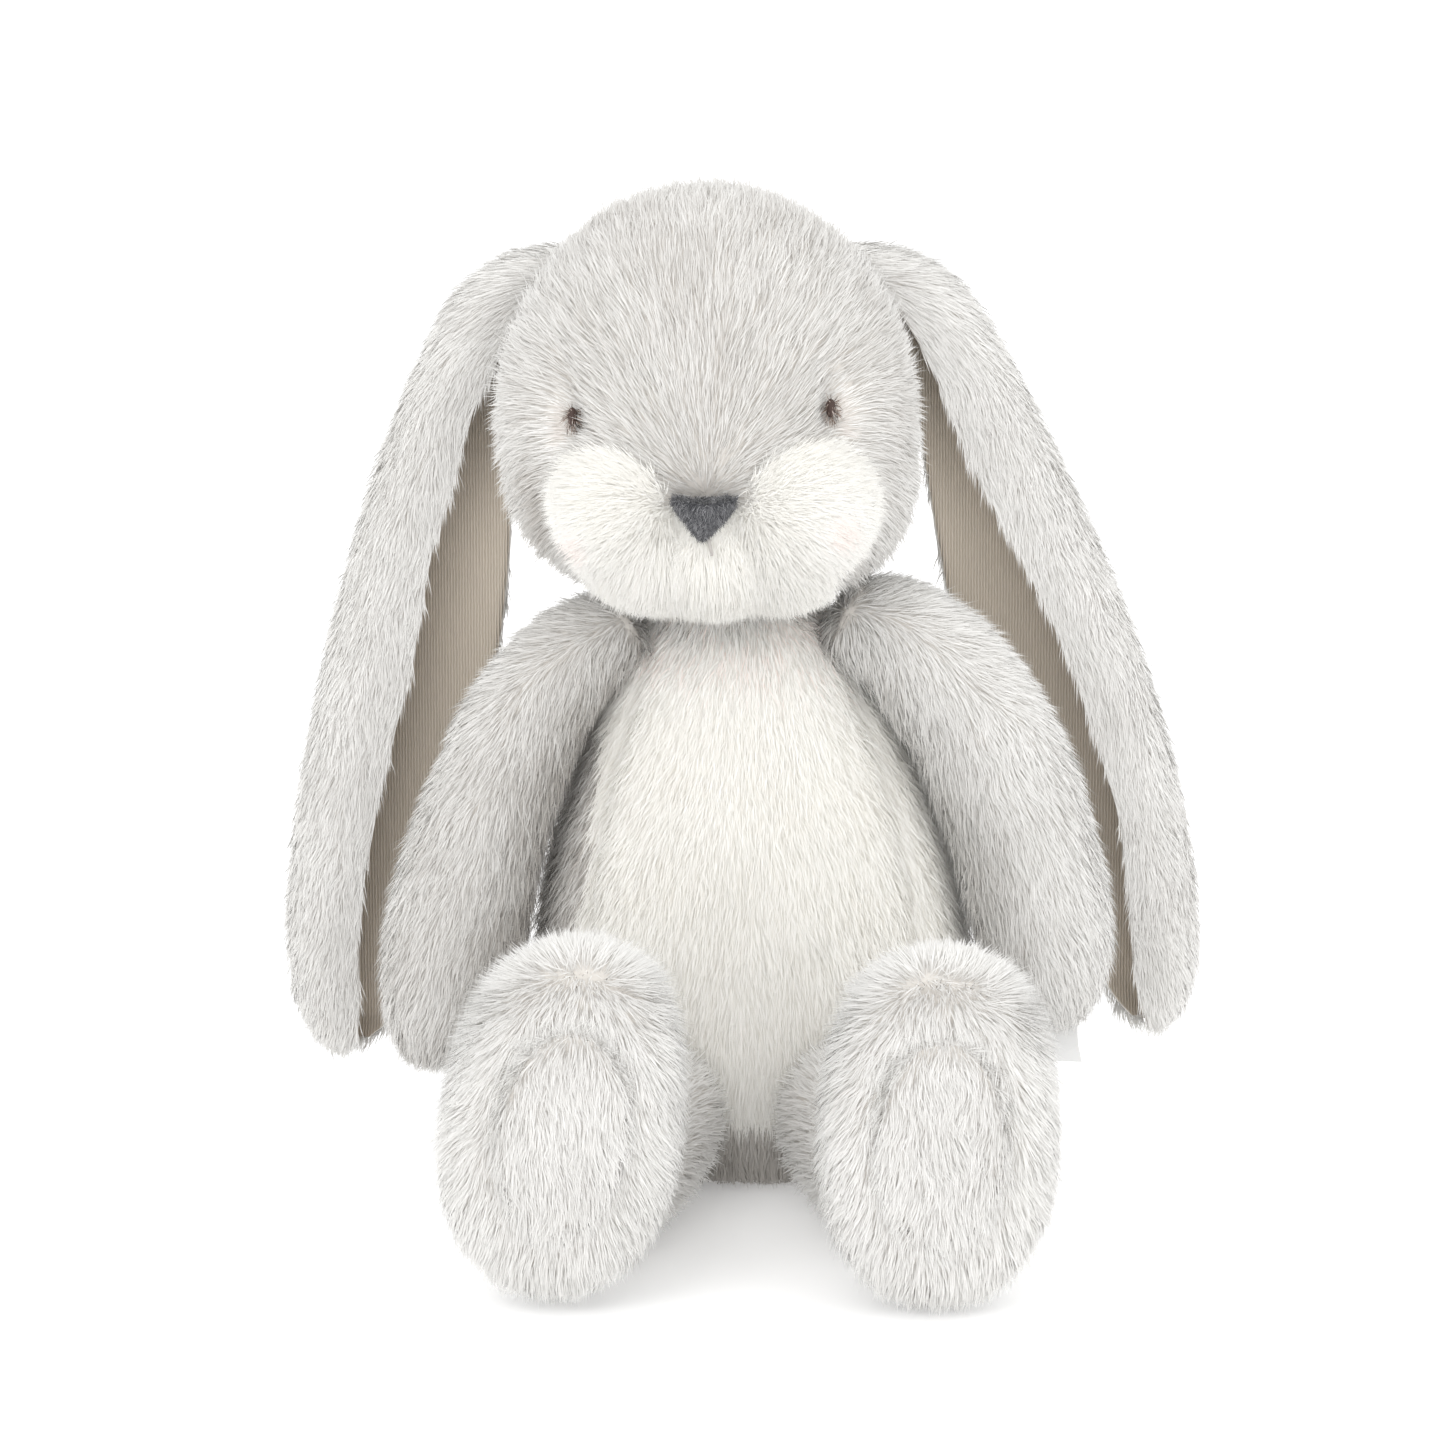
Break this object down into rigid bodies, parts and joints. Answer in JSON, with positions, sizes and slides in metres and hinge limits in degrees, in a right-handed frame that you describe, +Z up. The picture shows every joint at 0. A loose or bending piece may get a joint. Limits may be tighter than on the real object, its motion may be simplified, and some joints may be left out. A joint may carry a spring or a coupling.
{
  "type": "stuffed bunny rabbit",
  "caption": "Seated floppy plush rabbit with long lop ears, cream muzzle and tummy, and big oval feet.",
  "frame": {"origin": "centre of the flat seat face under the body", "axes": "+Z up through the head; the rabbit faces -Y; +X is its own left side"},
  "size_m": [0.2517, 0.235, 0.268],
  "materials": {
    "grey_plush": "long soft grey pile",
    "cream_plush": "off-white soft pile",
    "beige_velour": "short ribbed pile",
    "charcoal_velour": "short brushed pile",
    "brown_thread": "satin-stitched thread",
    "grey_thread": "thread",
    "white_satin": "smooth woven ribbon, blank",
    "polyester_stuffing": "loose white fibre",
    "pouch_cloth": "plain woven cotton",
    "plastic_pellets": "small smooth beads"
  },
  "bodies": {
    "torso": {"body_back_left": "grey_plush", "body_back_right": "grey_plush", "body_base": "grey_plush", "body_bean_pellets": "plastic_pellets", "body_bean_pouch": "pouch_cloth", "body_side_left": "grey_plush", "body_side_right": "grey_plush", "body_stuffing": "polyester_stuffing", "body_tummy": "cream_plush", "tail_cover": "cream_plush", "tail_stuffing": "polyester_stuffing"},
    "neck": {"neck_cover": "grey_plush", "neck_stuffing": "polyester_stuffing"},
    "head": {"cheek_left": "cream_plush", "cheek_right": "cream_plush", "cheek_stuffing_left": "polyester_stuffing", "cheek_stuffing_right": "polyester_stuffing", "chin_pad": "cream_plush", "eye_left": "brown_thread", "eye_right": "brown_thread", "head_back_left": "grey_plush", "head_back_right": "grey_plush", "head_gusset": "grey_plush", "head_side_left": "grey_plush", "head_side_right": "grey_plush", "head_stuffing": "polyester_stuffing", "mouth_stitch": "grey_thread", "nose_patch": "charcoal_velour"},
    "ear_left": {"ear_outer_left": "grey_plush", "ear_lining_left": "beige_velour"},
    "arm_left": {"arm_back_left": "grey_plush", "arm_front_left": "grey_plush", "arm_stuffing_left": "polyester_stuffing", "side_label": "white_satin"},
    "leg_left": {"leg_bottom_left": "grey_plush", "leg_stuffing_left": "polyester_stuffing", "leg_top_left": "grey_plush"},
    "foot_left": {"foot_sole_left": "grey_plush", "foot_stuffing_left": "polyester_stuffing", "foot_upper_left": "grey_plush"},
    "ear_right": {"ear_outer_right": "grey_plush", "ear_lining_right": "beige_velour"},
    "arm_right": {"arm_back_right": "grey_plush", "arm_front_right": "grey_plush", "arm_stuffing_right": "polyester_stuffing"},
    "leg_right": {"leg_bottom_right": "grey_plush", "leg_stuffing_right": "polyester_stuffing", "leg_top_right": "grey_plush"},
    "foot_right": {"foot_sole_right": "grey_plush", "foot_stuffing_right": "polyester_stuffing", "foot_upper_right": "grey_plush"}
  },
  "joints": [
    {"name": "neck_tilt", "type": "hinge", "parent": "torso", "child": "neck", "pos_m": [-0.004, 0.002, 0.15], "axis": [0, 1, 0], "range_deg": [-8, 8]},
    {"name": "head_nod", "type": "hinge", "parent": "neck", "child": "head", "pos_m": [-0.004, 0.002, 0.15], "axis": [1, 0, 0], "range_deg": [-2, 20]},
    {"name": "ear_flop_left", "type": "hinge", "parent": "head", "child": "ear_left", "pos_m": [0.037, 0.0125, 0.247], "axis": [0, -1, 0], "range_deg": [0, 65]},
    {"name": "ear_flop_right", "type": "hinge", "parent": "head", "child": "ear_right", "pos_m": [-0.055, 0.0125, 0.247], "axis": [0, 1, 0], "range_deg": [0, 65]},
    {"name": "shoulder_left", "type": "hinge", "parent": "torso", "child": "arm_left", "pos_m": [0.046, -0.012, 0.1395], "axis": [-0.8394, -0.3874, -0.3813], "range_deg": [0, 70]},
    {"name": "shoulder_right", "type": "hinge", "parent": "torso", "child": "arm_right", "pos_m": [-0.042, -0.012, 0.138], "axis": [-0.8582, 0.3961, 0.3265], "range_deg": [0, 70]},
    {"name": "hip_left", "type": "hinge", "parent": "torso", "child": "leg_left", "pos_m": [0.031, -0.037, 0.0265], "axis": [-1, 0, 0], "range_deg": [0, 30]},
    {"name": "hip_right", "type": "hinge", "parent": "torso", "child": "leg_right", "pos_m": [-0.027, -0.037, 0.0265], "axis": [-1, 0, 0], "range_deg": [0, 30]},
    {"name": "ankle_left", "type": "hinge", "parent": "leg_left", "child": "foot_left", "pos_m": [0.048, -0.112, 0.034], "axis": [1, 0, 0], "range_deg": [-12, 12]},
    {"name": "ankle_right", "type": "hinge", "parent": "leg_right", "child": "foot_right", "pos_m": [-0.042, -0.112, 0.034], "axis": [1, 0, 0], "range_deg": [-12, 12]}
  ]
}
